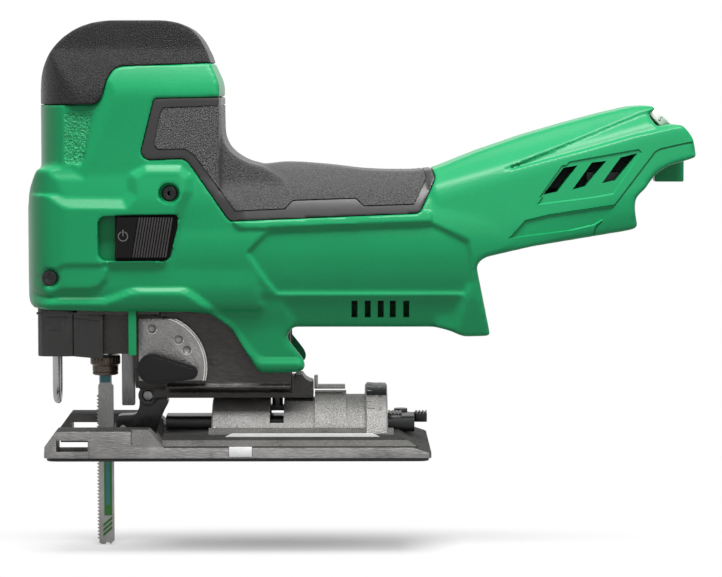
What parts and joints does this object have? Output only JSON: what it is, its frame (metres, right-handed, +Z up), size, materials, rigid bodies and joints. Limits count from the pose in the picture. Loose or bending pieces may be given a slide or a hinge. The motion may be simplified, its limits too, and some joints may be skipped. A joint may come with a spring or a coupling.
{
  "type": "jigsaw power tool",
  "caption": "Barrel-grip cordless jigsaw without its battery: moulded body, rubber cap and grip, tilting cast sole, clamped saw blade, orbit lever, slide switch and speed dial.",
  "frame": {"origin": "On the underside of the sole shoe, below the saddle, in the tool's middle plane. The base tilts about the X axis through it.", "axes": "+Z up, away from the work. +X towards the tail, where the battery goes. -X towards the blade. +Y is the tool's right side."},
  "size_m": [0.2924, 0.078, 0.2304],
  "materials": {
    "green_plastic": "fine-grained moulded green nylon",
    "black_rubber": "matt black overmoulded rubber with a stippled panel",
    "black_plastic": "satin black moulding",
    "white_plastic": "matt off-white moulding",
    "cast_aluminium": "die-cast aluminium, brushed on its machined faces",
    "dark_casting": "dark coated die casting",
    "steel": "ground and stamped steel",
    "dark_steel": "black oxide steel",
    "bronze": "dark bronze, turned",
    "copper": "copper winding and contact metal"
  },
  "bodies": {
    "base": {"sole_plate": "cast_aluminium", "sole_shoe": "black_plastic", "bevel_saddle": "cast_aluminium", "dust_duct": "black_plastic", "lock_bolt": "steel"},
    "lock_lever": {"lock_lever": "black_plastic"},
    "tool": {"housing_left": "green_plastic", "housing_right": "green_plastic", "head_cap": "black_rubber", "grip_left": "black_rubber", "grip_right": "black_rubber", "upper_screw": "dark_steel", "lower_screw": "dark_steel", "gear_case": "dark_casting", "nose_cover": "black_plastic", "guard_wire": "steel", "orbit_plate": "cast_aluminium", "motor_stator": "copper", "front_bearing": "steel", "rear_bearing": "steel", "lower_bush": "bronze", "upper_bush": "bronze", "rail_bolt": "dark_steel", "clamp_plate": "dark_steel", "angle_pointer": "steel", "holder_pin": "steel", "switch_body": "black_plastic", "dial_pot": "black_plastic", "controller": "dark_casting", "terminal_block": "black_plastic", "contact_plus": "copper", "contact_signal_a": "copper", "contact_signal_b": "copper", "contact_minus": "copper"},
    "plunger": {"plunger_rod": "steel", "plunger_yoke": "steel", "clamp_body": "steel", "saw_blade": "steel"},
    "clamp_sleeve": {"clamp_sleeve": "bronze"},
    "rotor": {"motor_shaft": "steel", "rotor_core": "dark_steel", "cooling_fan": "black_plastic"},
    "crank": {"crank_gear": "steel", "crank_pin": "steel"},
    "holder": {"roller_holder": "dark_steel", "roller_pin": "steel"},
    "roller": {"guide_roller": "steel"},
    "push_bar": {"push_bar": "steel"},
    "orbit_lever": {"orbit_lever": "black_plastic"},
    "switch_slider": {"switch_slider": "black_plastic"},
    "speed_dial": {"speed_dial": "white_plastic"}
  },
  "joints": [
    {"name": "bevel_tilt", "type": "hinge", "parent": "base", "child": "tool", "pos_m": [0, 0, 0], "axis": [1, 0, 0], "range_deg": [-45, 45]},
    {"name": "lock_lever_swing", "type": "hinge", "parent": "base", "child": "lock_lever", "pos_m": [0.0705, 0.017, 0.012], "axis": [0, 0, 1], "range_deg": [0, 65]},
    {"name": "plunger_stroke", "type": "slide", "parent": "tool", "child": "plunger", "axis": [0, 0, 1], "range_m": [-0.017, 0.009]},
    {"name": "clamp_twist", "type": "hinge", "parent": "plunger", "child": "clamp_sleeve", "pos_m": [-0.06, 0, 0.038], "axis": [0, 0, 1], "range_deg": [0, 50], "stiffness_Nm_per_rad": 0.02},
    {"name": "motor_spin", "type": "hinge", "parent": "tool", "child": "rotor", "pos_m": [0.01, 0, 0.088], "axis": [1, 0, 0], "continuous": true},
    {"name": "crank_spin", "type": "hinge", "parent": "tool", "child": "crank", "pos_m": [-0.044, 0, 0.112], "axis": [1, 0, 0], "continuous": true},
    {"name": "holder_swing", "type": "hinge", "parent": "tool", "child": "holder", "pos_m": [-0.0408, 0, 0.0249], "axis": [0, -1, 0], "range_deg": [0, 3]},
    {"name": "roller_spin", "type": "hinge", "parent": "holder", "child": "roller", "pos_m": [-0.0521, 0, 0.01], "axis": [0, 1, 0], "continuous": true},
    {"name": "push_bar_slide", "type": "slide", "parent": "tool", "child": "push_bar", "axis": [0, 0, -1], "range_m": [0, 0.0005]},
    {"name": "orbit_turn", "type": "hinge", "parent": "tool", "child": "orbit_lever", "pos_m": [-0.0374, -0.025, 0.0387], "axis": [0, -1, 0], "range_deg": [0, 92]},
    {"name": "switch_slide", "type": "slide", "parent": "tool", "child": "switch_slider", "axis": [-1, 0, 0], "range_m": [0, 0.0065]},
    {"name": "dial_turn", "type": "hinge", "parent": "tool", "child": "speed_dial", "pos_m": [0.1828, 0, 0.14575], "axis": [0.7071, 0, 0.7071], "range_deg": [-240, 0]}
  ],
  "couplings": [
    {"joint": "crank_spin", "follows": "motor_spin", "ratio": -0.2},
    {"joint": "push_bar_slide", "follows": "holder_swing", "m_per_rad": 0.009}
  ]
}
